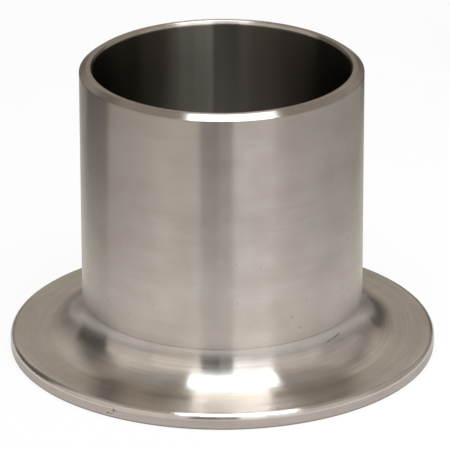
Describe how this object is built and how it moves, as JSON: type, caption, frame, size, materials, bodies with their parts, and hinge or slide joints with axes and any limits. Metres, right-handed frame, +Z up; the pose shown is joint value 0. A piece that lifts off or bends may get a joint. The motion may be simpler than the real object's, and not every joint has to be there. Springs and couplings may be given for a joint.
{
  "type": "pipe stub end",
  "caption": "Straight pipe barrel flared at its foot into a flat round lap, for a loose backing flange, with a bevelled weld end.",
  "frame": {"origin": "centre of the gasket face, the flat underside of the lap", "axes": "+Z up the barrel towards the weld end, X and Y across the pipe in any direction"},
  "size_m": [0.0914, 0.0914, 0.0635],
  "materials": {
    "stainless": "fine turned, bare stainless steel"
  },
  "bodies": {
    "root": {"stub_end": "stainless"}
  },
  "joints": []
}
